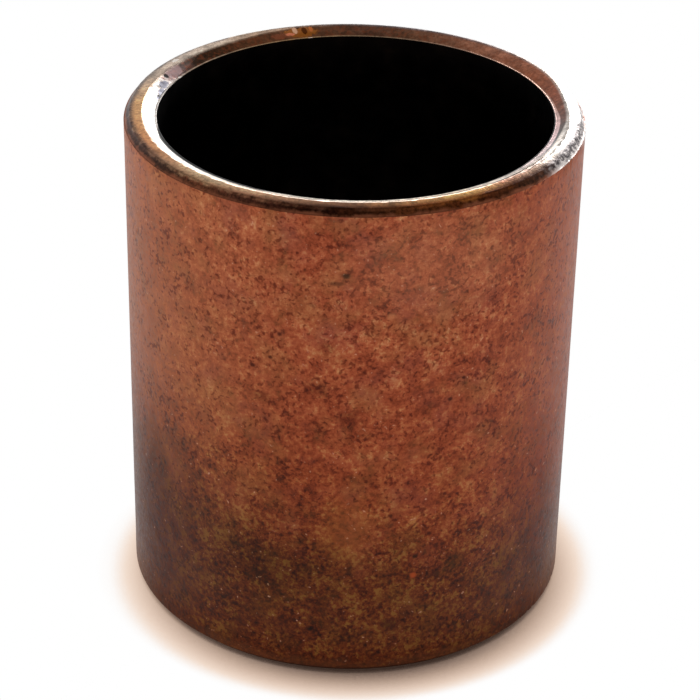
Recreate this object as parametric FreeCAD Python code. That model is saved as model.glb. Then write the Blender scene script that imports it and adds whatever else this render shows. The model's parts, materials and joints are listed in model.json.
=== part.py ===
# Plain sleeve bushing, pressed and sintered from bronze powder and soaked with oil.
# One piece. It stands on one end: the axis is +Z, and the origin is the centre of
# the lower end. All sizes are in millimetres. The two ends are alike.

import FreeCAD, Part
import os

Vector = FreeCAD.Vector

# The tube itself: the shaft sets the bore, and the wall then sets the outside
BORE_DIAMETER = 19.05
WALL_THICKNESS = 1.5875
LENGTH = 25.4

# Lead at the outside corner, which guides the sleeve into its housing
OUTSIDE_LEAD_RADIAL = 0.25
OUTSIDE_LEAD_AXIAL = 0.35

# Lead at the mouth of the bore, which guides the shaft in
MOUTH_LEAD_RADIAL = 0.72
MOUTH_LEAD_AXIAL = 0.28

# Narrow flats beside the two leads. A press punch can't end in a feather edge,
# so each lead stops at a small step that the blunt tip of the punch leaves.
OUTSIDE_STEP_WIDTH = 0.06
MOUTH_STEP_WIDTH = 0.12

# Radii that sizing, handling and wear leave on the two corners of each end face
OUTSIDE_CORNER_RADIUS = 0.12
MOUTH_CORNER_RADIUS = 0.08

BORE_RADIUS = BORE_DIAMETER / 2
OUTSIDE_RADIUS = BORE_RADIUS + WALL_THICKNESS
FACE_OUTER_RADIUS = OUTSIDE_RADIUS - OUTSIDE_LEAD_RADIAL
FACE_INNER_RADIUS = BORE_RADIUS + MOUTH_LEAD_RADIAL
END_HEIGHTS = (0, LENGTH)
FULL_TURN = 360
MATCH = 0.001


def end_profile(end_z, inward):
    """Corners of one end as (r, z), from the outside wall to the bore.

    inward is the direction along Z from the end face into the sleeve: 1 or -1.
    """
    outside_step_z = end_z + inward * OUTSIDE_LEAD_AXIAL
    mouth_step_z = end_z + inward * MOUTH_LEAD_AXIAL
    return [
        (OUTSIDE_RADIUS, outside_step_z),
        (OUTSIDE_RADIUS - OUTSIDE_STEP_WIDTH, outside_step_z),
        (FACE_OUTER_RADIUS, end_z),
        (FACE_INNER_RADIUS, end_z),
        (BORE_RADIUS + MOUTH_STEP_WIDTH, mouth_step_z),
        (BORE_RADIUS, mouth_step_z),
    ]


def wall_section():
    """Closed face of the wall's section, standing in the XZ plane beside the axis."""
    lower = end_profile(0, 1)
    upper = end_profile(LENGTH, -1)
    corners = lower + upper[::-1]
    points = [Vector(r, 0, z) for r, z in corners]
    return Part.Face(Part.makePolygon(points + points[:1]))


def end_face_rims(solid, radius):
    """The rims of that radius on the two end faces."""
    circles = [edge for edge in solid.Edges if isinstance(edge.Curve, Part.Circle)]
    return [
        edge for edge in circles
        if abs(edge.Curve.Radius - radius) < MATCH
        and min(abs(edge.Curve.Center.z - z) for z in END_HEIGHTS) < MATCH
    ]


def make_sleeve():
    """The sleeve: its wall section turned once round the axis, with its face corners eased."""
    turned = wall_section().revolve(Vector(0, 0, 0), Vector(0, 0, 1), FULL_TURN)
    outside_eased = turned.makeFillet(OUTSIDE_CORNER_RADIUS, end_face_rims(turned, FACE_OUTER_RADIUS))
    mouth_rims = end_face_rims(outside_eased, FACE_INNER_RADIUS)
    return outside_eased.makeFillet(MOUTH_CORNER_RADIUS, mouth_rims)


def save(shape, node):
    """Write one solid, after a check that it is closed and sound."""
    solid = shape.Solids[0]
    if not solid.isValid():
        raise ValueError(node + " is not a valid solid")
    solid.exportStep("parts/" + node + ".step")
    box = solid.optimalBoundingBox()
    print(node, "volume mm3", round(solid.Volume, 2))
    print(node, "size mm", round(box.XLength, 3), round(box.YLength, 3), round(box.ZLength, 3))


os.makedirs("parts", exist_ok=True)
save(make_sleeve(), "sleeve")
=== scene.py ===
# %% [markdown]
# # An oil-soaked bronze sleeve, lit on a pale table
#
# The object is a plain bushing: a short tube pressed from bronze powder, sintered, sized
# and soaked with oil. Its fixed frame is the CAD part, which gives the bore, the outside
# and the length. This file models the same sleeve again as a finer mesh that can carry
# nicks and pits, gives it its finishes, and lights it as it stood on a white table.

# %% Load the frame
import json
import math

import bmesh
import bpy
from mathutils import Matrix, Vector, noise


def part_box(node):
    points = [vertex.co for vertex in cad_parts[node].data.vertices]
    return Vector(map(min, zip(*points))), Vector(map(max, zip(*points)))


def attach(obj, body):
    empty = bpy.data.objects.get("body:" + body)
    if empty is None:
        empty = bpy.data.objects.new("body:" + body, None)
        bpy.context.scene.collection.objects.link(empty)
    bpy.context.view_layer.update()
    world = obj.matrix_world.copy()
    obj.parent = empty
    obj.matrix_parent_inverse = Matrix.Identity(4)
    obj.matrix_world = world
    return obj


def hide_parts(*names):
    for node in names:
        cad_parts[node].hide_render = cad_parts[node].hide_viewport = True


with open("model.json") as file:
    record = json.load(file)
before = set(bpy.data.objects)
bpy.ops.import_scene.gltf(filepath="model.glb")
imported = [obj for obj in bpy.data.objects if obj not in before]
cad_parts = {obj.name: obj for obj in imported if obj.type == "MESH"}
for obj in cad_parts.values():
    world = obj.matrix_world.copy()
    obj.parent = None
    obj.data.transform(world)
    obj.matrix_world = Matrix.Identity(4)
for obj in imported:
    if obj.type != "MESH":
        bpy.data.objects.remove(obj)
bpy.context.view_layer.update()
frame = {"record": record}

# %% [markdown]
# ## Sizes
#
# Blender counts in metres here, so a size in millimetres is multiplied by MM. The large
# sizes could be typed in again, but then two files would have to agree. They are read
# from the frame, because the CAD part owns them: the box of the node gives the outside
# and the length, and the mounts give the bore and how deep each lead goes.

# %% Sizes from the frame
MM = 0.001
low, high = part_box("sleeve")
mounts = {mount["name"]: mount["dims"] for mount in frame["record"]["mounts"]}
OUTSIDE_R = min(high.x, high.y, -low.x, -low.y)
LENGTH = high.z - low.z
BORE_R = mounts["bore"]["r_mm"] * MM
MOUTH_LEAD_DEEP = (LENGTH - mounts["bore"]["length_mm"] * MM) / 2
OUTSIDE_LEAD_DEEP = (LENGTH - mounts["outside"]["length_mm"] * MM) / 2
print("outside radius mm:", round(OUTSIDE_R / MM, 4), "bore radius mm:", round(BORE_R / MM, 4))
print("length mm:", round(LENGTH / MM, 3), "lead depths mm:", round(MOUTH_LEAD_DEEP / MM, 3),
      round(OUTSIDE_LEAD_DEEP / MM, 3))

# %% Widths of the leads and steps, as the press tool left them
OUTSIDE_LEAD_WIDE = 0.25 * MM
MOUTH_LEAD_WIDE = 0.72 * MM
OUTSIDE_STEP_WIDE = 0.06 * MM
MOUTH_STEP_WIDE = 0.12 * MM
FACE_OUTER_R = OUTSIDE_R - OUTSIDE_LEAD_WIDE
FACE_INNER_R = BORE_R + MOUTH_LEAD_WIDE
MIDDLE_R = (BORE_R + OUTSIDE_R) / 2

# %% [markdown]
# ## The section of the wall
#
# The tube is a turned form, so its shape is one closed outline, the section of the wall,
# turned once round the axis. The outline could be a curve with a Screw modifier. Here it
# is a few vertices in a bmesh, because the bevel operator can then round each corner and
# each straight run can be divided as finely as its surface needs.

# %% Corners of the section
def end_corners(face_z, inward):
    """Corners of one end from the outside wall to the bore; inward is +1 or -1 along Z."""
    outside_step_z = face_z + inward * OUTSIDE_LEAD_DEEP
    mouth_step_z = face_z + inward * MOUTH_LEAD_DEEP
    return [
        (OUTSIDE_R, outside_step_z),
        (OUTSIDE_R - OUTSIDE_STEP_WIDE, outside_step_z),
        (FACE_OUTER_R, face_z),
        (FACE_INNER_R, face_z),
        (BORE_R + MOUTH_STEP_WIDE, mouth_step_z),
        (BORE_R, mouth_step_z),
    ]


bm = bmesh.new()
outline = end_corners(0, 1) + end_corners(LENGTH, -1)[::-1]
corners = [bm.verts.new((r, 0, z)) for r, z in outline]
for i, corner in enumerate(corners):
    bm.edges.new((corners[i - 1], corner))
print("section corners:", len(bm.verts))

# %% [markdown]
# The punch leaves its own corners fairly sharp, and sizing and handling then ease the
# corners of the end face. A vertex bevel does both on a wire: offset is how far back from
# the corner the round starts, and a profile of 0.5 makes it a circle's arc.

# %% Round the corners
FACE_CORNER_ROUND = 0.08 * MM
STEP_CORNER_ROUND = 0.02 * MM
on_face = [v for v in bm.verts if min(v.co.z, LENGTH - v.co.z) < 0.01 * MM]
on_steps = [v for v in bm.verts if v not in on_face]
bmesh.ops.bevel(bm, geom=on_face, offset=FACE_CORNER_ROUND, offset_type="OFFSET",
                affect="VERTICES", segments=4, profile=0.5, material=-1)
bmesh.ops.bevel(bm, geom=on_steps, offset=STEP_CORNER_ROUND, offset_type="OFFSET",
                affect="VERTICES", segments=2, profile=0.5, material=-1)
print("section vertices after rounding:", len(bm.verts))

# %% [markdown]
# The upper end is where the nicks and pits are, so its runs are divided finely. The two
# long runs only have to carry a slow waviness, and the bore not even that, so there the
# pieces are longer. This keeps the whole sleeve under 200,000 triangles.

# %% Divide the straight runs
UPPER_END_CELL = 0.05 * MM
LOWER_END_CELL = 0.12 * MM
WALL_CELL = 0.6 * MM
BORE_CELL = 1.2 * MM


def cell_for(edge):
    """How long the pieces of this edge should be."""
    middle = (edge.verts[0].co + edge.verts[1].co) / 2
    if edge.calc_length() > LENGTH / 2:
        return WALL_CELL if middle.x > MIDDLE_R else BORE_CELL
    return UPPER_END_CELL if middle.z > LENGTH / 2 else LOWER_END_CELL


for edge in list(bm.edges):
    pieces = round(edge.calc_length() / cell_for(edge))
    if pieces > 1:
        bmesh.ops.subdivide_edges(bm, edges=[edge], cuts=pieces - 1)
print("section vertices after dividing:", len(bm.verts))

# %% [markdown]
# A full spin closes on itself only with use_merge. It can leave the faces pointing
# inwards, so the normals are worked out again once the shell is closed.

# %% Turn the section round the axis
SEGMENTS = 640
bmesh.ops.spin(bm, geom=bm.verts[:] + bm.edges[:], cent=(0, 0, 0), axis=(0, 0, 1),
               angle=math.tau, steps=SEGMENTS, use_merge=True, use_duplicate=False)
bmesh.ops.recalc_face_normals(bm, faces=bm.faces[:])
print("faces:", len(bm.faces), "open edges:", sum(not e.is_manifold for e in bm.edges))

# %% [markdown]
# ## Zones of finish
#
# One surface carries three finishes, because each was made and used differently: the
# sized outside wall, the two pressed ends with their leads, and the oily bore. Each face
# gets the number of its finish. The zones meet at the steps beside the leads, which are
# real corners, so no border runs across open metal.

# %% Give each face its zone
WALL_ZONE, END_ZONE, BORE_ZONE = 0, 1, 2
EDGE_MARGIN = 0.01 * MM


def zone_of(face):
    """Which finish this face carries."""
    centre = face.calc_center_median()
    r = math.hypot(centre.x, centre.y)
    depth = min(centre.z, LENGTH - centre.z)
    if r > MIDDLE_R:
        return WALL_ZONE if depth > OUTSIDE_LEAD_DEEP + EDGE_MARGIN else END_ZONE
    return BORE_ZONE if depth > MOUTH_LEAD_DEEP + EDGE_MARGIN else END_ZONE


for face in bm.faces:
    face.material_index = zone_of(face)
    face.smooth = True
print("faces by zone:", [sum(f.material_index == z for f in bm.faces) for z in range(3)])

# %% [markdown]
# ## Wear in the shape
#
# The sleeve has been handled. Its end face is worn to a slight crown at the front. The
# mouth lead is cut wider at the back right, and the mouth's edge is worn wider on that
# side too, as if the lead had been cut a little off centre. At the front the rim of that
# lead is nicked, at the right the outside corner is chipped into pits, and at the left the
# mouth lead has a scar. A displacement texture could move the surface, but it would move
# it everywhere. Instead each vertex is pushed into the metal by a depth that depends on
# where it is, as a sculptor would press dents. Nothing is pushed out, so the sleeve never
# grows past its CAD size.

# %% Helpers for places on an end
def between(value, start, stop):
    """0 up to start, 1 from stop, and smooth between them. start may be above stop."""
    t = min(max((value - start) / (stop - start), 0), 1)
    return t * t * (3 - 2 * t)


def near_angle(angle, centre, half_width):
    """1 at that angle round the axis, in degrees, and 0 from half_width away."""
    away = abs((angle - centre + 180) % 360 - 180)
    return between(away, half_width, half_width * 0.5)


def grain(place, size, shift=0):
    """Soft noise from about -1 to 1, with lumps of that size; shift picks another field."""
    return noise.noise(place / size + Vector((shift, shift, shift)))


# %% Depth of the wear at one place
CROWN_DEPTH = 0.06 * MM
CUT_WIDTH = 0.40 * MM
CUT_ANGLE = 66
CUT_SPREAD = 64
STEP_OUTER_R = BORE_R + MOUTH_STEP_WIDE
MOUTH_SHIFT = 0.32 * MM
MOUTH_SHIFT_ANGLE = 64
MOUTH_SHIFT_POWER = 1.5
NICK_DEPTH = 0.03 * MM
NICK_LENGTH = 0.3 * MM
PIT_DEPTH = 0.08 * MM
PIT_SIZE = 0.28 * MM
PITS_ANGLE = -19
SCAR_DEPTH = 0.03 * MM
SCAR_SIZE = 0.25 * MM
SCAR_ANGLE = 163
RIPPLE_DEPTH = 0.006 * MM
RIPPLE_SIZE = 0.7 * MM
WAVE_DEPTH = 0.010 * MM
WAVE_SIZE = 3.0 * MM

# How far round, from its middle, a kind of wear reaches, in degrees
PITS_SPREAD = 30
SCAR_SPREAD = 9

# Between which places a kind of wear starts and is full
CROWN_STARTS_Y, CROWN_FULL_Y = 3 * MM, -3 * MM
CROWN_FULL_DEEP = 0.1 * MM
NICKS_START_Y, NICKS_FULL_Y = 0, -4 * MM
NICK_BAND = 0.14 * MM
PIT_BAND = 0.2 * MM
SCAR_FADE = 0.1 * MM
END_WEAR_STARTS, END_WEAR_FULL = 0.5 * MM, 0.3 * MM
SHIFT_STARTS, SHIFT_FULL = 2 * MM, 1 * MM
NO_END_WEAR = 1 * MM

# Added to a noise before it presses dents: the more, the more of the metal is dented
NICK_LIFT, PIT_LIFT, SCAR_LIFT = 0.1, -0.1, 0.1


def wear_depth(place):
    """How deep the metal is worn at this place, in metres."""
    r = math.hypot(place.x, place.y)
    angle = math.degrees(math.atan2(place.y, place.x))
    from_end = min(LENGTH - place.z, place.z)
    if from_end > NO_END_WEAR:
        return WAVE_DEPTH * (0.5 + 0.5 * grain(place, WAVE_SIZE)) if r > MIDDLE_R else 0
    at_end = between(from_end, END_WEAR_STARTS, END_WEAR_FULL)
    across = min(max((r - FACE_INNER_R) / (FACE_OUTER_R - FACE_INNER_R), 0), 1)
    crown = CROWN_DEPTH * across ** 2 * between(from_end, OUTSIDE_LEAD_DEEP, CROWN_FULL_DEEP)
    crown = crown * between(place.y, CROWN_STARTS_Y, CROWN_FULL_Y)
    cut_share = near_angle(angle, CUT_ANGLE, CUT_SPREAD)
    cut_rim = FACE_INNER_R + CUT_WIDTH * cut_share
    cut_slope = MOUTH_LEAD_DEEP / (cut_rim - STEP_OUTER_R)
    cut_z = LENGTH - cut_slope * (cut_rim - max(r, STEP_OUTER_R))
    cut = max(place.z - cut_z, 0) * (r < cut_rim)
    ripple = RIPPLE_DEPTH * (0.5 + 0.5 * grain(place, RIPPLE_SIZE, 3))
    at_mouth = between(abs(r - cut_rim), NICK_BAND, 0.0)
    nicked = between(place.y, NICKS_START_Y, NICKS_FULL_Y) * at_mouth
    nicks = NICK_DEPTH * nicked * max(grain(place, NICK_LENGTH, 7) + NICK_LIFT, 0)
    at_outside = between(r, FACE_OUTER_R - PIT_BAND, FACE_OUTER_R)
    chipped = near_angle(angle, PITS_ANGLE, PITS_SPREAD)
    pits = PIT_DEPTH * at_outside * chipped * max(grain(place, PIT_SIZE, 11) + PIT_LIFT, 0)
    off_the_step = between(r, STEP_OUTER_R, STEP_OUTER_R + SCAR_FADE)
    on_lead = between(r, FACE_INNER_R + SCAR_FADE / 2, FACE_INNER_R - SCAR_FADE) * off_the_step
    scarred = near_angle(angle, SCAR_ANGLE, SCAR_SPREAD) * on_lead * (place.z > LENGTH / 2)
    scar = SCAR_DEPTH * scarred * max(grain(place, SCAR_SIZE, 17) + SCAR_LIFT, 0)
    return (crown + cut + ripple + nicks + pits + scar) * at_end


def mouth_shift(place):
    """How far outwards the edge of the upper mouth is worn at this place, in metres."""
    r = math.hypot(place.x, place.y)
    angle = math.atan2(place.y, place.x) - math.radians(MOUTH_SHIFT_ANGLE)
    near_mouth = between(r, FACE_INNER_R, BORE_R)
    near_mouth = near_mouth * between(place.z, LENGTH - SHIFT_STARTS, LENGTH - SHIFT_FULL)
    return MOUTH_SHIFT * max(math.cos(angle), 0) ** MOUTH_SHIFT_POWER * near_mouth


# %% Push the worn places in
deepest = 0
for vert in bm.verts:
    vert.normal_update()
moves = [(vert, wear_depth(vert.co), mouth_shift(vert.co)) for vert in bm.verts]
for vert, depth, outwards in moves:
    vert.co += Vector((vert.co.x, vert.co.y, 0)).normalized() * outwards
    vert.co -= vert.normal * depth
    deepest = max(deepest, depth)
print("deepest wear mm:", round(deepest / MM, 3))

# %% Make it an object
mesh = bpy.data.meshes.new("sleeve_body")
bm.to_mesh(mesh)
bm.free()
sleeve = bpy.data.objects.new("sleeve_body", mesh)
bpy.context.scene.collection.objects.link(sleeve)
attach(sleeve, "root")
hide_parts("sleeve")

# %% [markdown]
# ## Helpers for the finishes
#
# Colours are written as sRGB hex, the numbers a colour picker shows, and a shader takes
# linear light, so one function turns the first into the second. A second function adds a
# node. It could also be typed out line by line, but a finish has dozens of nodes, and
# each then reads as one line: what it is, what goes in, and how it is set. Four kinds of
# node make up most of a finish: one that remaps a value, one that does arithmetic, one
# that mixes two colours, and a noise. Each of them has a short function of its own.

# %% Helpers for colours and nodes
# Most of a noise lies between the first two values, and of a fine one between the others
NOISE_LOW, NOISE_HIGH = 0.3, 0.7
FINE_LOW, FINE_HIGH = 0.35, 0.65


def linear(hex_code):
    """A colour written as sRGB hex, as the linear values that a shader takes."""
    channels = [int(hex_code[i:i + 2], 16) / 255 for i in (1, 3, 5)]
    return [c / 12.92 if c <= 0.04045 else ((c + 0.055) / 1.055) ** 2.4 for c in channels] + [1.0]


def add(tree, kind, inputs=(), stops=(), **settings):
    """Adds a node. Each input, by name or number, takes a value, a socket or a node."""
    node = tree.nodes.new(kind)
    for name, setting in settings.items():
        setattr(node, name, setting)
    for key, value in dict(inputs).items():
        shown = [s for s in node.inputs if s.enabled]
        socket = shown[key] if isinstance(key, int) else next(s for s in shown if s.name == key)
        if isinstance(value, bpy.types.Node):
            value = next(s for s in value.outputs if s.enabled)
        if isinstance(value, bpy.types.NodeSocket):
            tree.links.new(value, socket)
        else:
            socket.default_value = value
    for i, (place, colour) in enumerate(stops):
        if i >= len(node.color_ramp.elements):
            node.color_ramp.elements.new(place)
        node.color_ramp.elements[i].position = place
        node.color_ramp.elements[i].color = linear(colour)
    return node


def remap(tree, value, start, stop, low=0, high=1, smooth=False):
    """low up to start and high from stop, with a straight or a smooth change between them."""
    return add(tree, "ShaderNodeMapRange", {
        "Value": value, "From Min": start, "From Max": stop, "To Min": low, "To Max": high},
        interpolation_type="SMOOTHSTEP" if smooth else "LINEAR")


def calc(tree, operation, *inputs):
    """One step of arithmetic on one to three inputs."""
    return add(tree, "ShaderNodeMath", dict(enumerate(inputs)), operation=operation)


def mix(tree, share, under, over, blend_type="MIX"):
    """A colour with a share of another one over it, which is a hex code or a node."""
    over = linear(over) if isinstance(over, str) else over
    return add(tree, "ShaderNodeMix", {"Factor": share, "A": under, "B": over},
               data_type="RGBA", blend_type=blend_type)


def speckle(tree, place, size, detail, roughness, seed=None, distortion=0):
    """Noise with lumps of that size in mm. A seed gives another field of the same kind."""
    inputs = {"Vector": place, "Scale": 1 / size, "Detail": detail, "Roughness": roughness,
              "Distortion": distortion}
    if seed is None:
        return add(tree, "ShaderNodeTexNoise", inputs)
    return add(tree, "ShaderNodeTexNoise", inputs | {"W": seed}, noise_dimensions="4D")


def new_finish(name, metallic):
    """A material on the sleeve, its node tree, its shader, and its coordinates in mm."""
    material = bpy.data.materials.new(name)
    material.use_nodes = True
    tree = material.node_tree
    shader = tree.nodes["Principled BSDF"]
    shader.inputs["Metallic"].default_value = metallic
    place = add(tree, "ShaderNodeTexCoord").outputs["Object"]
    in_mm = add(tree, "ShaderNodeVectorMath", {0: place, "Scale": 1 / MM}, operation="SCALE")
    mesh.materials.append(material)
    return tree, shader, in_mm


# %% [markdown]
# ## The outside wall: sintered bronze, sized and soaked with oil
#
# Sintered bronze is powder fused below its melting point, so its skin is a satin of tiny
# grains with open pores between them. Oil and handling have tarnished it to salmon brown,
# with olive and purple clouds, and the lower third is darker. An image could carry all
# that, but it would show seams and end at its last pixel. Noise in object coordinates has
# neither, and its sizes can be real ones.

# %% Wall: coordinates and noise
CLOUD_SIZE = 4.5
MOTTLE_SIZE = 0.9
GRAIN_SIZE = 0.24
OLIVE_SIZE = 1.6
PLUM_SIZE = 1.8
MOTTLE_SHARE = 0.38
CLOUD_SHARE = 0.15
tree, shader, in_mm = new_finish("sintered_bronze_sized_and_oiled", metallic=0.8)
split = add(tree, "ShaderNodeSeparateXYZ", {0: in_mm})
cloud = speckle(tree, in_mm, CLOUD_SIZE, 3, 0.6)
mottle = speckle(tree, in_mm, MOTTLE_SIZE, 2, 0.6)
grains = speckle(tree, in_mm, GRAIN_SIZE, 3, 0.7)
mottled = add(tree, "ShaderNodeMix", {"Factor": MOTTLE_SHARE, "A": grains, "B": mottle})
tone = add(tree, "ShaderNodeMix", {"Factor": CLOUD_SHARE, "A": mottled, "B": cloud})
olive_field = speckle(tree, in_mm, OLIVE_SIZE, 3, 0.6, seed=3.0)
plum_field = speckle(tree, in_mm, PLUM_SIZE, 3, 0.6, seed=9.0)

# %% [markdown]
# The wall darkens towards its foot, most of all in the lower third, and more so at the
# left. A colour ramp along the height gives it, with noise added to the height so that no
# border shows as a line. The grain also stands out more there.

# %% Wall: where it is dark
DARK_CLIMB = 0.18
BORDER_ROUGHNESS = 1.6
UPPER_CONTRAST = 1.1
LOWER_CONTRAST = 1.95
tilted = calc(tree, "MULTIPLY_ADD", split.outputs["X"], DARK_CLIMB, split.outputs["Z"])
ragged = remap(tree, plum_field, NOISE_LOW, NOISE_HIGH, -BORDER_ROUGHNESS, BORDER_ROUGHNESS)
border = calc(tree, "ADD", tilted, ragged)
height_share = remap(tree, border, 0, LENGTH / MM)
darker_low_down = add(tree, "ShaderNodeValToRGB", {"Fac": height_share}, stops=[
    (0.16, "#968e60"), (0.24, "#9e966a"), (0.32, "#bcb08e"), (0.40, "#d8ccb2"),
    (0.48, "#e6dccc"), (0.64, "#f2ece4"), (0.88, "#ffffff")])
gain = remap(tree, height_share, 0.45, 0.25, UPPER_CONTRAST, LOWER_CONTRAST)
off_middle = calc(tree, "SUBTRACT", tone, 0.5)
contrast = calc(tree, "MULTIPLY_ADD", off_middle, gain, 0.5)

# %% Wall: colours of the tarnished metal
metal = add(tree, "ShaderNodeValToRGB", {"Fac": contrast}, stops=[
    (0.33, "#5c2410"), (0.43, "#883c20"), (0.50, "#a04c2e"), (0.57, "#b4623e"), (0.68, "#d09062")])
olive_share = remap(tree, olive_field, 0.48, 0.66, 0, 0.3)
with_olive = mix(tree, olive_share, metal, "#94683c")
plum_share = remap(tree, plum_field, 0.50, 0.68, 0, 0.35)
with_plum = mix(tree, plum_share, with_olive, "#84443a")

# %% [markdown]
# The two sides, seen at a slant, mirror the grey room and would look grey. The real wall
# stays brown there, so its metal is a stronger orange towards the sides. Low down it is
# darker as well, and duller, so that it mirrors less, but not at the outermost edge. The
# upper left is a little more tan.

# %% Wall: the sides, in mm from the middle and from the table
SIDE_STARTS, SIDE_EDGE = 6.5, 10.8
SIDE_STRENGTH = 0.6
LOW_SIDE_TOP, LOW_SIDE_BELOW = 14.0, 9.0
LOW_SIDE_FULL, LOW_SIDE_FADES = 9.0, 9.6
LOW_SIDE_STRENGTH = 0.4
TAN_STARTS_X, TAN_FULL_X = -2.0, -9.0
TAN_STARTS_Z, TAN_FULL_Z = 6.0, 15.0
beside = calc(tree, "ABSOLUTE", split.outputs["X"])
side_share = remap(tree, beside, SIDE_STARTS, SIDE_EDGE, 0, SIDE_STRENGTH)
with_sides = mix(tree, side_share, with_plum, "#a04c1c")
low_side = remap(tree, split.outputs["Z"], LOW_SIDE_TOP, LOW_SIDE_BELOW)
far_side = remap(tree, beside, SIDE_STARTS, LOW_SIDE_FULL, 0, LOW_SIDE_STRENGTH)
not_edge = remap(tree, beside, SIDE_EDGE, LOW_SIDE_FADES)
on_side = calc(tree, "MULTIPLY", far_side, not_edge)
low_share = calc(tree, "MULTIPLY", low_side, on_side)
with_low_sides = mix(tree, low_share, with_sides, "#d89c74", "MULTIPLY")
darkened = mix(tree, 1.0, with_low_sides, darker_low_down, "MULTIPLY")
at_left = remap(tree, split.outputs["X"], TAN_STARTS_X, TAN_FULL_X)
tan_share = remap(tree, split.outputs["Z"], TAN_STARTS_Z, TAN_FULL_Z)
left_tan = calc(tree, "MULTIPLY", at_left, tan_share)
tan = mix(tree, left_tan, darkened, "#4c3a24", "ADD")

# %% [markdown]
# Pores are the mark of a sintered part. Their real size is a few hundredths of a
# millimetre, too fine to show here, so they are drawn as the clusters that the eye sees,
# a tenth or two of a millimetre wide. A Voronoi texture would scatter them evenly and make
# each one round. A noise cut off near its top leaves ragged specks instead, its Distortion
# curls them, and a slow noise moves the cut, so they crowd in some places. Between them
# lie a few grains that were rubbed bright, made the same way from the noise's low end.

# %% Wall: pores and bright grains
PORE_SIZE = 0.2
CROWD_SIZE = 1.3
PORE_TINT = "#b4988a"
BRIGHT_GRAIN = "#d8a080"
pore_field = speckle(tree, in_mm, PORE_SIZE, 1, 0.5, seed=21.0, distortion=0.5)
crowding = speckle(tree, in_mm, CROWD_SIZE, 2, 0.6, seed=5.0)
crowded = calc(tree, "MULTIPLY_ADD", crowding, 0.5, pore_field)
pore_share = remap(tree, crowded, 0.80, 0.94, 0, 0.95)
with_pores = mix(tree, pore_share, tan, PORE_TINT, "MULTIPLY")
bright_share = remap(tree, pore_field, 0.30, 0.22, 0, 0.5)
with_grains = mix(tree, bright_share, with_pores, BRIGHT_GRAIN)

# %% [markdown]
# The foot of the wall is painted a little paler in a narrow band at the front. This is
# painted light: it lifts the dark reflection of the shadowed table in the wall just above
# it. The mottle noise makes the top of the band ragged.

# %% Wall: painted light at the foot
FOOT_TOP, FOOT_FULL = 0.95, 0.45
FOOT_RAGGED = 0.8
FOOT_STRENGTH = 0.25
FOOT_STARTS_Y, FOOT_FULL_Y = -7.0, -10.0
foot_edge = calc(tree, "MULTIPLY_ADD", mottle, FOOT_RAGGED, split.outputs["Z"])
foot_height = remap(tree, foot_edge, FOOT_TOP + FOOT_RAGGED / 2, FOOT_FULL + FOOT_RAGGED / 2,
                    0, FOOT_STRENGTH)
foot_front = remap(tree, split.outputs["Y"], FOOT_STARTS_Y, FOOT_FULL_Y)
foot_light_share = calc(tree, "MULTIPLY", foot_height, foot_front)
# Painted light: a paler band at the front of the foot.
with_foot_light = mix(tree, foot_light_share, with_grains, "#9c6444")

# %% [markdown]
# Some stains and spots are this sleeve's own, and a reader who knows the photograph looks
# for them. Each is a soft ball of colour placed on the wall by its angle round the axis
# and its height. A Mapping node in Texture mode moves and stretches the ball, and noise
# added to the coordinates makes its border ragged.

# %% Wall: single stains, which darken, and bright patches, which cover
RAGGED_EDGE_SIZE = 0.5
STAIN_CORE = 0.6
STAINS = [
    # angle, height mm, half width mm, half height mm, colour, strength
    (-91.3, 22.1, 0.26, 0.20, "#5e6c50", 0.9),
    (-93.4, 21.7, 0.50, 0.14, "#847a60", 0.7),
    (-107.0, 18.8, 0.13, 0.16, "#7a5240", 0.9),
    (-109.3, 17.5, 0.16, 0.14, "#7a5240", 0.9),
    (-114.0, 16.9, 0.18, 0.14, "#7a5240", 0.9),
    (-61.3, 16.2, 0.14, 0.14, "#7a5240", 0.9),
    (-64.9, 15.2, 0.18, 0.14, "#7a5848", 0.9),
    (-98.2, 16.1, 0.70, 0.50, "#c0ae9c", 0.8),
    (-111.6, 15.3, 0.70, 0.45, "#c0ae9c", 0.8),
    (-90.4, 14.7, 0.70, 0.50, "#c0ae9c", 0.8),
    (-95.4, 18.4, 0.60, 0.45, "#ccbcaa", 0.8),
    (-109.0, 5.9, 3.60, 1.60, "#dce0c4", 0.9),
    (-72.6, 6.7, 0.18, 0.18, "#6a7050", 0.9),
    (-78.5, 2.9, 0.60, 0.40, "#b0a090", 0.8),
    (-98.4, 2.6, 0.20, 0.16, "#786858", 0.9),
]
BRIGHT_PATCHES = [
    (-89.8, 8.5, 1.60, 2.40, "#a8622e", 0.22),
    (-80.4, 20.0, 0.28, 0.24, "#c87c50", 0.5),
    (-72.9, 5.6, 0.22, 0.20, "#a0441c", 0.8),
    (-70.0, 22.4, 5.50, 3.20, "#cc9470", 0.12),
    # Painted highlight: a near-white strip on the top edge of the wall at the right, below the rim
    # that mirrors the window.
    (-3.0, 25.1, 2.60, 0.60, "#f2eeec", 0.85),
]
wobble = speckle(tree, in_mm, RAGGED_EDGE_SIZE, 4, 0.7)
centred = add(tree, "ShaderNodeVectorMath", {0: wobble.outputs["Color"], 1: (0.5, 0.5, 0.5)},
              operation="SUBTRACT")
marked_wall = with_foot_light
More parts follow.
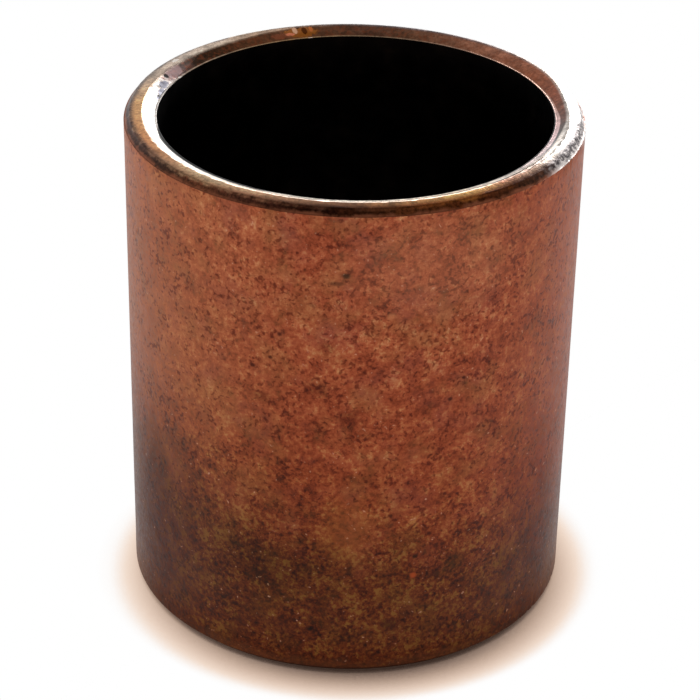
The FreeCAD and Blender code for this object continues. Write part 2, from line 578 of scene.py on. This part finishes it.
for kind, marks in (("MULTIPLY", STAINS), ("MIX", BRIGHT_PATCHES)):
    for angle, height, wide, tall, colour, strength in marks:
        turn = math.radians(angle)
        shove = Vector((1, 1, 1)) * tall
        ragged_place = add(tree, "ShaderNodeVectorMath", {0: centred, 1: shove, 2: in_mm},
                           operation="MULTIPLY_ADD")
        middle = (OUTSIDE_R / MM * math.cos(turn), OUTSIDE_R / MM * math.sin(turn), height)
        ball = add(tree, "ShaderNodeMapping", {
            "Vector": ragged_place, "Location": middle, "Rotation": (0, 0, turn),
            "Scale": (wide, wide, tall)}, vector_type="TEXTURE")
        spot = add(tree, "ShaderNodeTexGradient", {"Vector": ball}, gradient_type="SPHERICAL")
        share = remap(tree, spot, 0, STAIN_CORE, 0, strength)
        marked_wall = mix(tree, share, marked_wall, colour, kind)
print("stains on the wall:", len(STAINS) + len(BRIGHT_PATCHES))

# %% Wall: gloss and relief
RELIEF_DEPTH = 0.02 * MM
SMOOTH_GRAIN, DULL_GRAIN = 0.40, 0.55
LOW_SIDE_DULLER = 0.25
roughness = remap(tree, grains, FINE_LOW, FINE_HIGH, SMOOTH_GRAIN, DULL_GRAIN)
relief = calc(tree, "MULTIPLY_ADD", pore_share, -0.3, grains)
bump = add(tree, "ShaderNodeBump", {"Height": relief, "Distance": RELIEF_DEPTH, "Strength": 0.5})
duller = calc(tree, "MULTIPLY_ADD", low_share, LOW_SIDE_DULLER, roughness)
tree.links.new(marked_wall.outputs[2], shader.inputs["Base Color"])
tree.links.new(duller.outputs[0], shader.inputs["Roughness"])
tree.links.new(bump.outputs[0], shader.inputs["Normal"])
print("wall finish nodes:", len(tree.nodes))

# %% [markdown]
# ## The ends: pressed bronze, bright on the face, dark in the outside lead, with painted light
#
# The punch pressed the end face and its leads smooth, and handling keeps the face bright
# gold. The outside lead, which nothing rubs, is painted dark, partly for old oil and dirt and
# partly as painted shade. The face, the mouth lead and the outside lead lie at different
# radii, so the radius picks the colour.
# Noise is added to it, so that each colour ends raggedly and not along a circle.

# %% Ends: coordinates and noise
STREAK_SIZE = 0.7
SPECK_SIZE = 0.18
FLECK_SIZE = 0.22
FACE_INNER = FACE_INNER_R / MM
FACE_OUTER = FACE_OUTER_R / MM
tree, shader, in_mm = new_finish("pressed_bronze_rubbed_with_painted_light", metallic=1.0)
split = add(tree, "ShaderNodeSeparateXYZ", {0: in_mm})
in_plan = add(tree, "ShaderNodeVectorMath", {0: in_mm, 1: (1, 1, 0)}, operation="MULTIPLY")
radius = add(tree, "ShaderNodeVectorMath", {0: in_plan}, operation="LENGTH").outputs["Value"]
streak = speckle(tree, in_mm, STREAK_SIZE, 4, 0.65)
speck = speckle(tree, in_mm, SPECK_SIZE, 3, 0.7)
ragged_by = remap(tree, streak, NOISE_LOW, NOISE_HIGH, -1.0, 1.0)

# %% [markdown]
# Each part of the end changes colour on its way round, and much of that change is painted
# reflection. The face is gold at the left and brown at the front; it is painted nearly white
# at the right, where it mirrors the window, and dull at the back, where it mirrors the dim
# ceiling. The mouth lead is painted white at the left, where it mirrors the window. A
# Gradient texture in Radial mode gives the way round as a number from 0 to 1, starting and
# ending at the left, and a colour ramp turns that number into a metal. Noise moves the
# number a little, so that no colour ends along a straight spoke.

# %% Ends: the way round
def at(angle):
    """Where an angle round the axis, in degrees, lies on such a ramp."""
    return (angle + 180) / 360


def round_ramp(*stops):
    """A metal that changes colour on its way round, partly as painted reflection, with streaks
    that are darker or lighter.
    """
    tone = add(tree, "ShaderNodeValToRGB", {"Fac": around}, stops=[(at(a), c) for a, c in stops])
    return add(tree, "ShaderNodeVectorMath", {0: tone.outputs["Color"], "Scale": uneven},
               operation="SCALE")


TURN_RAGGED = 0.008
spoke = add(tree, "ShaderNodeTexGradient", {"Vector": in_mm}, gradient_type="RADIAL")
around = calc(tree, "MULTIPLY_ADD", ragged_by, TURN_RAGGED, spoke.outputs["Fac"])
streaky = remap(tree, streak, NOISE_LOW, NOISE_HIGH, 0.5, 1.4)
speckled = remap(tree, speck, FINE_LOW, FINE_HIGH, 0.75, 1.25)
uneven = calc(tree, "MULTIPLY", streaky, speckled)

# %% Ends: metal of the face and of the mouth lead
# Besides the metal's own colours, these ramps carry painted reflections: near-white where the face
# and the lead mirror the window, darker where they mirror the dim room.
face = round_ramp((-180, "#fcc080"), (-168, "#f8b478"), (-156, "#e49c68"), (-144, "#ecae80"),
                  (-130, "#fcd8ae"), (-120, "#fcc89c"), (-107, "#cc9a78"), (-92, "#a07054"),
                  (-74, "#e0a068"), (-60, "#fabf76"), (-48, "#a06c4e"), (-37, "#9a7a66"),
                  (-27, "#dcd2c8"), (12, "#e8e0da"), (24, "#d4b6a6"), (36, "#c49c92"),
                  (48, "#cca69c"), (60, "#b48e86"), (84, "#a09494"), (98, "#b49c90"),
                  (108, "#d4ac8e"), (120, "#c8a284"), (132, "#d6bea8"), (146, "#f4decc"),
                  (160, "#ecd2bc"), (180, "#fcc080"))
face_edge = round_ramp((-180, "#a47b5a"), (-168, "#b48864"), (-150, "#b8866a"), (-130, "#fcc898"),
                       (-120, "#eea880"), (-108, "#b0785a"), (-94, "#704838"), (-84, "#9e6140"),
                       (-72, "#c06c36"), (-61, "#d48442"), (-48, "#6e381e"), (-36, "#583a2c"),
                       (-24, "#b0a6a8"), (-10, "#fcf6f4"), (22, "#ece4dc"), (36, "#87746b"),
                       (48, "#67544e"), (60, "#584442"), (72, "#50403e"), (84, "#54464a"),
                       (96, "#705950"), (108, "#9d7b62"), (118, "#c2a586"), (130, "#ecd0b8"),
                       (146, "#d4c2b4"), (160, "#b0a094"), (170, "#988478"), (180, "#a47b5a"))
lead = round_ramp((-180, "#efe7df"), (-140, "#efe7df"), (-130, "#d8ccc2"), (-112, "#b49274"),
                  (-64, "#ac8c6e"), (-46, "#f0e4d8"), (-31, "#dccec6"), (-24, "#5c5052"),
                  (-12, "#201410"), (0, "#683e2e"), (14, "#9c5c46"), (32, "#c47c5e"),
                  (46, "#e49a7c"), (60, "#c08468"), (74, "#9a6a50"), (86, "#805846"),
                  (98, "#885c44"), (120, "#8c5c40"), (134, "#5c3e2a"), (146, "#4c3628"),
                  (157, "#8a7070"), (163, "#efe7df"))
FACE_EDGE_STARTS, FACE_EDGE_FULL = 10.50, 10.78
to_edge = remap(tree, radius, FACE_EDGE_STARTS, FACE_EDGE_FULL, smooth=True)
whole_face = mix(tree, to_edge, face, face_edge)

# %% [markdown]
# The metal changes from lead to face at the rim between them, and the rim lies further out
# where the lead was cut wider. Some borders lie further in or out on one side only, and
# some scuffs are on one side only. A dot product with a direction gives how far a point
# lies that way, and past a chosen distance it makes a lobe, which moves the border or adds
# to the roughness. At the back the lead has red flecks.

# %% Ends: where the lead stops and the face starts
# Each lobe here and below: its direction in degrees, start and full mm that way, amount
FACE_REACHES_IN = (-30, 9.0, 9.7, 0.2)
FLECK_STRENGTH = 0.4
BACK_STARTS_Y, BACK_FULL_Y = 0.0, 4.5
RIM_RAGGED = 0.015
RIM_INNER, RIM_OUTER = -0.14, 0.05


def reach(toward_angle, start, full, amount):
    """A lobe on one side of the end: amount beyond full, 0 up to start, in mm that way."""
    turn = math.radians(toward_angle)
    way = Vector((math.cos(turn), math.sin(turn), 0))
    toward = add(tree, "ShaderNodeVectorMath", {0: in_mm, 1: way}, operation="DOT_PRODUCT")
    return remap(tree, toward.outputs["Value"], start, full, 0, amount, smooth=True)


flecks = speckle(tree, in_mm, FLECK_SIZE, 2, 0.6, seed=4.0)
fleck_share = remap(tree, flecks, 0.48, 0.62, 0, FLECK_STRENGTH)
flecked_lead = mix(tree, fleck_share, lead, "#b4603c")
at_back = remap(tree, split.outputs["Y"], BACK_STARTS_Y, BACK_FULL_Y)
mixed_lead = mix(tree, at_back, lead, flecked_lead)
off_cut = calc(tree, "SUBTRACT", spoke.outputs["Fac"], at(CUT_ANGLE))
beside_cut = calc(tree, "ABSOLUTE", off_cut)
cut_width = remap(tree, beside_cut, CUT_SPREAD / 360, CUT_SPREAD / 720, 0, CUT_WIDTH / MM,
                  smooth=True)
wide_rim = calc(tree, "ADD", cut_width, FACE_INNER)
rim_at = calc(tree, "SUBTRACT", wide_rim, reach(*FACE_REACHES_IN))
from_rim = calc(tree, "SUBTRACT", radius, rim_at)
ragged_rim = calc(tree, "MULTIPLY_ADD", ragged_by, RIM_RAGGED, from_rim)
on_face = remap(tree, ragged_rim, RIM_INNER, RIM_OUTER, smooth=True)
metal = mix(tree, on_face, mixed_lead, whole_face)

# %% [markdown]
# Two narrow lines differ from what lies beside them, and both carry a painted highlight. At
# the front it lies on the rounded rim between the face and the mouth lead, and all round it
# lies on the burnished edge of the small step at the bore, which is only as wide as a thick
# hair and looks wider at the right. The step is painted black at the front left and over
# part of it at the right, partly for oil crept out of the bore and partly as painted shade
# carried on from the bore. Both follow the mouth's worn edge, so its shift is worked out
# again here.

# %% Ends: painted highlights on the rim and the step, and the black at the mouth
BLACK_MOUTH_LOBES = ((-20, 7.0, 9.3, 0.06), (-140, 8.2, 9.4, 0.20))
LINE_WIDER = (-20, 8.8, 9.5, 0.1)
LINE_STOPS, LINE_FULL = 0.14, 0.10
BLACK_MOUTH_STOPS = 0.04
RIM_LINE_STOPS, RIM_LINE_FULL = 0.10, 0.03
RIM_LINE_STARTS_Y, RIM_LINE_FULL_Y = -1.0, -5.0
# Painted highlight along the rounded rim at the front.
rim_distance = calc(tree, "ABSOLUTE", from_rim)
at_rim = remap(tree, rim_distance, RIM_LINE_STOPS, RIM_LINE_FULL, 0, 0.8)
rim_here = remap(tree, split.outputs["Y"], RIM_LINE_STARTS_Y, RIM_LINE_FULL_Y)
rim_highlight_share = calc(tree, "MULTIPLY", at_rim, rim_here)
with_rim_highlight = mix(tree, rim_highlight_share, metal, "#e8d4c0")
shift_turn = math.radians(MOUTH_SHIFT_ANGLE)
shift_way = Vector((math.cos(shift_turn), math.sin(shift_turn), 0))
along = add(tree, "ShaderNodeVectorMath", {0: in_mm, 1: shift_way}, operation="DOT_PRODUCT")
cosine = add(tree, "ShaderNodeMath", {0: along.outputs["Value"], 1: radius},
             operation="DIVIDE", use_clamp=True)
worn = calc(tree, "POWER", cosine, MOUTH_SHIFT_POWER)
worn_r = calc(tree, "MULTIPLY_ADD", worn, MOUTH_SHIFT / MM, BORE_R / MM)
past_black_mouth = calc(tree, "SUBTRACT", radius, worn_r)
for lobe in BLACK_MOUTH_LOBES:
    past_black_mouth = calc(tree, "SUBTRACT", past_black_mouth, reach(*lobe))
# Painted highlight along the burnished edge of the step.
line = round_ramp((-180, "#f0e8e2"), (-60, "#e8dccc"), (-36, "#d0c0bc"), (-10, "#ecc4c4"),
                  (20, "#e4bca8"), (50, "#e8b8a0"), (80, "#c0a080"), (110, "#b8905c"),
                  (150, "#b89c84"), (166, "#f0e8e2"))
past_line = calc(tree, "SUBTRACT", past_black_mouth, reach(*LINE_WIDER))
step_highlight_share = remap(tree, past_line, LINE_STOPS, LINE_FULL, 0, 0.85)
with_step_highlight = mix(tree, step_highlight_share, with_rim_highlight, line)
# Black over the step: oil, and painted shade carried on from the bore.
oil_and_shade_share = remap(tree, past_black_mouth, BLACK_MOUTH_STOPS, 0)
oiled_and_shaded = mix(tree, oil_and_shade_share, with_step_highlight, "#060404")

# %% [markdown]
# The upper part of the outside lead is painted dark and thins out over the edge of the face,
# partly for old oil and dirt and partly as painted shade. At the right it is painted nearly
# white instead, a painted reflection of the window. There the lead is chipped as well,
# painted dark between bright chips. The foot of the lead is rubbed, so it shows the metal.

# %% Ends: dirt and painted light in the outside lead
CHIP_SIZE = 0.19
CHIPPED_REACH = 3.6
CHIPS_WIDEN = 0.12
GRIME_RAGGED = 0.15
GRIME_STARTS, GRIME_FULL = FACE_OUTER - 0.22, FACE_OUTER + 0.04
LEAD_FOOT_RAGGED = 0.10
LEAD_FOOT_TOP, LEAD_FOOT_FULL = LENGTH / MM - 0.24, LENGTH / MM - 0.36
CHIPPED_MIDDLE = (OUTSIDE_R / MM * math.cos(math.radians(PITS_ANGLE)),
                  OUTSIDE_R / MM * math.sin(math.radians(PITS_ANGLE)), LENGTH / MM)
chipped_ball = add(tree, "ShaderNodeMapping", {
    "Vector": in_mm, "Location": CHIPPED_MIDDLE, "Scale": (CHIPPED_REACH,) * 3},
    vector_type="TEXTURE")
chipped_here = add(tree, "ShaderNodeTexGradient", {"Vector": chipped_ball},
                   gradient_type="SPHERICAL")
chipped_share = remap(tree, chipped_here, 0.05, 0.4)
shoved_in = calc(tree, "MULTIPLY_ADD", chipped_share, CHIPS_WIDEN, radius)
ragged_radius = calc(tree, "MULTIPLY_ADD", ragged_by, GRIME_RAGGED, shoved_in)
past_face = remap(tree, ragged_radius, GRIME_STARTS, GRIME_FULL, 0, 0.98, smooth=True)
# Dark stops mix dirt with painted shade; the near-white stops at the right are a painted
# reflection of the window.
grime_and_painted_light = round_ramp((-180, "#402826"), (-168, "#462419"), (-154, "#42281e"), (-142, "#38221a"),
                   (-130, "#703f2a"), (-118, "#583226"), (-104, "#381a12"), (-94, "#2e150d"),
                   (-72, "#60341c"), (-60, "#562814"), (-46, "#402414"), (-34, "#4a2c1e"),
                   (-24, "#584644"), (-10, "#a49c9c"), (2, "#e8e4e2"), (30, "#dcd0c8"),
                   (50, "#806660"), (80, "#504244"), (160, "#5c4c46"))
speckled_grime = remap(tree, speck, FINE_LOW, FINE_HIGH, 0.6, 1.4)
uneven_grime_and_light = add(tree, "ShaderNodeVectorMath", {0: grime_and_painted_light, "Scale": speckled_grime},
                   operation="SCALE")
ragged_height = calc(tree, "MULTIPLY_ADD", ragged_by, LEAD_FOOT_RAGGED, split.outputs["Z"])
low_on_lead = remap(tree, ragged_height, LEAD_FOOT_TOP, LEAD_FOOT_FULL)
foot_of_lead = mix(tree, low_on_lead, uneven_grime_and_light, "#9a5c42")
chip_field = speckle(tree, in_mm, CHIP_SIZE, 3, 0.6)
chips = add(tree, "ShaderNodeValToRGB", {"Fac": chip_field}, stops=[
    (0.36, "#2c2628"), (0.47, "#5a5254"), (0.55, "#8c8484"), (0.64, "#dcd4d0")])
rubbed_chips = mix(tree, low_on_lead, chips, "#ece4e0")
outside_lead_colour = mix(tree, chipped_share, foot_of_lead, rubbed_chips)
with_outside_lead = mix(tree, past_face, oiled_and_shaded, outside_lead_colour)
dark_specks = remap(tree, speck, 0.36, 0.28, 0, 0.5)
specked = mix(tree, dark_specks, with_outside_lead, "#3a2418")

# %% [markdown]
# The end has single marks too: the grey scar with two dark dots, the bright ends of the
# strokes that made it, an orange patch of fresh metal at the back with a painted glint on
# it, and two dark strokes in the outside lead at the right. The large marks come first in
# the list, because a later mark covers an earlier one. A mark also has a roughness of its
# own: torn metal scatters light, so it glints where the smooth metal around it mirrors only
# the dim ceiling; the glint's near-white and bright orange colours are painted on top of
# that. The speck noise makes the borders of the marks ragged.

# %% Ends: single marks
MARK_DEEP = 0.7
MARK_STARTS, MARK_FULL = 0.15, 0.35
END_MARKS = [
    # angle, radius mm, half length round the axis, half width, colour, strength, roughness
    (154.5, 10.02, 0.90, 0.45, "#a48888", 0.6, 0.2),
    (106.2, 10.20, 1.15, 0.50, "#c47428", 0.9, 0.5),
    (112.5, 10.05, 0.80, 0.24, "#b86848", 0.7, 0.4),
    (163.0, 9.82, 0.60, 0.30, "#70707e", 0.95, 0.3),
    (167.4, 9.72, 0.70, 0.20, "#70707e", 0.95, 0.3),
    (171.0, 9.68, 0.45, 0.13, "#70707e", 0.95, 0.3),
    (158.6, 10.05, 0.20, 0.17, "#0c080a", 0.95, 0.4),
    (170.6, 9.72, 0.24, 0.12, "#0c080a", 0.95, 0.4),
    (149.0, 10.55, 0.30, 0.16, "#f4ece4", 0.95, 0.5),
    (155.2, 9.58, 0.20, 0.12, "#f4ece4", 0.95, 0.5),
    (105.2, 10.30, 0.20, 0.34, "#6a3008", 0.9, 0.2),
    (106.9, 10.62, 0.16, 0.20, "#5a3010", 0.9, 0.2),
    # Painted glint: the near-white and bright orange marks at the back.
    (107.9, 10.36, 0.17, 0.30, "#ffd8b8", 0.95, 0.8),
    (109.6, 10.12, 0.32, 0.14, "#ffac84", 0.95, 0.8),
    (103.2, 10.42, 0.14, 0.28, "#e88c48", 0.9, 0.7),
    (104.0, 9.74, 0.20, 0.14, "#ffe8dc", 0.95, 0.7),
    (106.8, 9.70, 0.55, 0.08, "#c0a078", 0.9, 0.5),
    (18.5, 11.03, 1.20, 0.05, "#48464c", 0.7, 0.3),
    (6.5, 11.04, 1.20, 0.07, "#38363a", 0.8, 0.3),
]
ragged_factor = remap(tree, speck, FINE_LOW, FINE_HIGH, 0.5, 1.5)
marked = specked
mark_rough = 0.0
for angle, at_radius, long, wide, colour, strength, rough in END_MARKS:
    turn = math.radians(angle)
    middle = (at_radius * math.cos(turn), at_radius * math.sin(turn), LENGTH / MM)
    ball = add(tree, "ShaderNodeMapping", {
        "Vector": in_mm, "Location": middle, "Rotation": (0, 0, turn),
        "Scale": (wide, long, MARK_DEEP)}, vector_type="TEXTURE")
    spot = add(tree, "ShaderNodeTexGradient", {"Vector": ball}, gradient_type="SPHERICAL")
    ragged_spot = calc(tree, "MULTIPLY", ragged_factor, spot)
    share = remap(tree, ragged_spot, MARK_STARTS, MARK_FULL, 0, strength)
    marked = mix(tree, share, marked, colour)
    mark_rough = add(tree, "ShaderNodeMix", {"Factor": share, "A": mark_rough, "B": rough})
print("marks on the end:", len(END_MARKS))

# %% Ends: gloss and relief
BRIGHT_ROUGH, GRIME_ROUGH = 0.14, 0.45
SCUFFED_LEFT = (-140, 7.6, 9.4, 0.4)
OTHER_SCUFFS = ((-56, 8.2, 9.5, 0.4), (160, 9.5, 9.8, 0.3))
grime_rough = remap(tree, past_face, 0, 1, BRIGHT_ROUGH, GRIME_ROUGH)
on_lead = calc(tree, "SUBTRACT", 1.0, on_face)
scuffs = reach(*SCUFFED_LEFT)
for lobe in OTHER_SCUFFS:
    scuffs = calc(tree, "ADD", scuffs, reach(*lobe))
scuffed = calc(tree, "MULTIPLY_ADD", on_lead, scuffs, grime_rough)
end_relief = calc(tree, "MULTIPLY_ADD", speck, 0.5, streak)
end_bump = add(tree, "ShaderNodeBump", {"Height": end_relief, "Distance": RELIEF_DEPTH,
                                        "Strength": 0.5})
tree.links.new(marked.outputs[2], shader.inputs["Base Color"])
rough_at_last = calc(tree, "MAXIMUM", scuffed, mark_rough)
tree.links.new(rough_at_last.outputs[0], shader.inputs["Roughness"])
tree.links.new(end_bump.outputs[0], shader.inputs["Normal"])
print("end finish nodes:", len(tree.nodes))

# %% [markdown]
# ## The bore: the running surface, black with oil and painted shade
#
# The bore is the same metal, but oil bleeds out of its pores and has dried dark there.
# The finish is nearly black, partly for that oil and partly as painted shade of the deep
# bore, with a faint oily gloss that shows near the mouth.

# %% Bore
FILM_SIZE = 1.2
WET_ROUGH, DRY_ROUGH = 0.30, 0.50
tree, shader, in_mm = new_finish("bore_black_with_oil_and_painted_shade", metallic=1.0)
film = speckle(tree, in_mm, FILM_SIZE, 4, 0.6)
# Nearly black: oil, and painted shade of the deep bore.
bore_oil_and_shade = add(tree, "ShaderNodeValToRGB", {"Fac": film}, stops=[
    (0.35, "#060404"), (0.55, "#0c0807"), (0.70, "#160f0b")])
oil_rough = remap(tree, film, NOISE_LOW, NOISE_HIGH, WET_ROUGH, DRY_ROUGH)
tree.links.new(bore_oil_and_shade.outputs[0], shader.inputs["Base Color"])
tree.links.new(oil_rough.outputs[0], shader.inputs["Roughness"])

# %% [markdown]
# ## The table
#
# The sleeve stood on a white card, bright enough to lose all detail except a small warm
# shadow where the sleeve touches it. The card could be lit until it burns out, but that
# much light would bleach the bronze. So its colour does it: to the camera and in
# reflections the card gives out white, and everywhere else it is a plain matt card. The
# Ambient Occlusion node measures how much of the sky the sleeve hides from each point,
# and a ramp turns that into the shadow. The node's Normal leans towards the back, where
# the light comes from, so the shadow is deepest in front of the sleeve.

# %% Table
TABLE_SIZE = 2.0
bpy.ops.mesh.primitive_plane_add(size=TABLE_SIZE)
table = bpy.context.object
table.name = "table_top"
card = bpy.data.materials.new("white_card_burnt_out")
card.use_nodes = True
tree = card.node_tree
matt = tree.nodes["Principled BSDF"]
matt.inputs["Base Color"].default_value = linear("#f2f0ee")
matt.inputs["Roughness"].default_value = 0.9
SHADOW_REACH = 2.7 * MM
LIT_FROM = Vector((-0.18, 0.76, 0.62))
lit_from = add(tree, "ShaderNodeCombineXYZ", {"X": LIT_FROM.x, "Y": LIT_FROM.y, "Z": LIT_FROM.z})
hidden = add(tree, "ShaderNodeAmbientOcclusion", {"Distance": SHADOW_REACH, "Normal": lit_from},
             samples=16)
shadow = add(tree, "ShaderNodeValToRGB", {"Fac": hidden.outputs["AO"]}, stops=[
    (0.22, "#30221c"), (0.34, "#786459"), (0.46, "#b49a88"), (0.60, "#d8beac"),
    (0.75, "#f2dccb"), (0.90, "#ffffff")])
glow = add(tree, "ShaderNodeEmission", {"Color": shadow, "Strength": 1.0})
path = add(tree, "ShaderNodeLightPath")
seen = calc(tree, "MAXIMUM", path.outputs["Is Camera Ray"], path.outputs["Is Glossy Ray"])
blend = add(tree, "ShaderNodeMixShader", {0: seen, 1: matt, 2: glow})
tree.links.new(blend.outputs[0], tree.nodes["Material Output"].inputs["Surface"])
table.data.materials.append(card)

# %% [markdown]
# ## Light
#
# The light is a pale room and one large soft source, like a window, behind the sleeve and
# to the right. The bright metal of the ends works as a mirror: where it faces the window
# it turns white, and elsewhere it shows the dimmer room. The room is brightest at the
# level of the table and falls off towards the ceiling, which keeps the back of the ring
# darker than its sides. Low behind the sleeve, but not to its left, lies a stronger glow:
# the worn rim at the front mirrors it.

# %% Room light
GLOW_STRENGTH = 4.0
GLOW_TOP, GLOW_FULL_BELOW = 0.24, 0.12
GLOW_BEHIND, GLOW_FULL_BEHIND = 0.93, 0.97
GLOW_LEFT, GLOW_FULL_RIGHT = -0.16, -0.05
world = bpy.data.worlds.new("pale_room")
bpy.context.scene.world = world
world.use_nodes = True
tree = world.node_tree
direction = add(tree, "ShaderNodeTexCoord").outputs["Generated"]
split = add(tree, "ShaderNodeSeparateXYZ", {0: direction})
room = add(tree, "ShaderNodeValToRGB", {"Fac": split.outputs["Z"]}, stops=[
    (0.12, "#ffffff"), (0.30, "#e4e2e0"), (0.42, "#c8c6c4"), (0.57, "#b0aeac"), (0.70, "#9a9896"),
    (1.00, "#8a8886")])
low_down = remap(tree, split.outputs["Z"], GLOW_TOP, GLOW_FULL_BELOW)
behind = remap(tree, split.outputs["Y"], GLOW_BEHIND, GLOW_FULL_BEHIND)
not_left = remap(tree, split.outputs["X"], GLOW_LEFT, GLOW_FULL_RIGHT)
low_behind = calc(tree, "MULTIPLY", low_down, behind)
glow = calc(tree, "MULTIPLY", low_behind, not_left)
strength = calc(tree, "MULTIPLY_ADD", glow, GLOW_STRENGTH - 1, 1.0)
tree.links.new(room.outputs[0], tree.nodes["Background"].inputs["Color"])
tree.links.new(strength.outputs[0], tree.nodes["Background"].inputs["Strength"])

# %% Window
WINDOW_AWAY = 0.5
WINDOW_AZIMUTH = 23
WINDOW_ELEVATION = 17
WINDOW_WIDE = 0.287
WINDOW_TALL = 0.194
WINDOW_BRIGHTNESS = 4.5
aim = Vector((0, 0, LENGTH))
azimuth = math.radians(WINDOW_AZIMUTH)
elevation = math.radians(WINDOW_ELEVATION)
toward = Vector((math.cos(elevation) * math.sin(azimuth),
                 math.cos(elevation) * math.cos(azimuth), math.sin(elevation)))
window = bpy.data.objects.new("window", bpy.data.lights.new("window", "AREA"))
bpy.context.scene.collection.objects.link(window)
window.location = aim + toward * WINDOW_AWAY
window.rotation_euler = toward.to_track_quat("Z", "Y").to_euler()
window.data.shape = "RECTANGLE"
window.data.size = WINDOW_WIDE
window.data.size_y = WINDOW_TALL
window.data.energy = WINDOW_BRIGHTNESS * math.pi * WINDOW_WIDE * WINDOW_TALL
window.visible_camera = False
print("window watts:", round(window.data.energy, 3))

# %% [markdown]
# ## The camera
#
# The photograph looks down on the sleeve at about thirty degrees. The place and the lens
# were found by fitting the outline of this sleeve to the outline in the photograph, so
# the sleeve fills the same part of the frame.

# %% Camera
CAMERA_BACK = 108.79 * MM
CAMERA_UP = 73.48 * MM
CAMERA_TILT_DOWN = 29.456
CAMERA_ROLL = 1.163
CAMERA_LENS = 126.5
SENSOR_WIDE = 36
NEAREST, FARTHEST = 0.01, 10
camera = bpy.data.objects.new("camera", bpy.data.cameras.new("camera"))
bpy.context.scene.collection.objects.link(camera)
tilt = Matrix.Rotation(math.radians(90 - CAMERA_TILT_DOWN), 4, "X")
roll = Matrix.Rotation(math.radians(CAMERA_ROLL), 4, "Z")
camera.matrix_world = Matrix.Translation((0, -CAMERA_BACK, CAMERA_UP)) @ tilt @ roll
camera.data.lens = CAMERA_LENS
camera.data.sensor_width = SENSOR_WIDE
camera.data.clip_start = NEAREST
camera.data.clip_end = FARTHEST
bpy.context.scene.camera = camera
bpy.context.scene.view_settings.view_transform = "Standard"
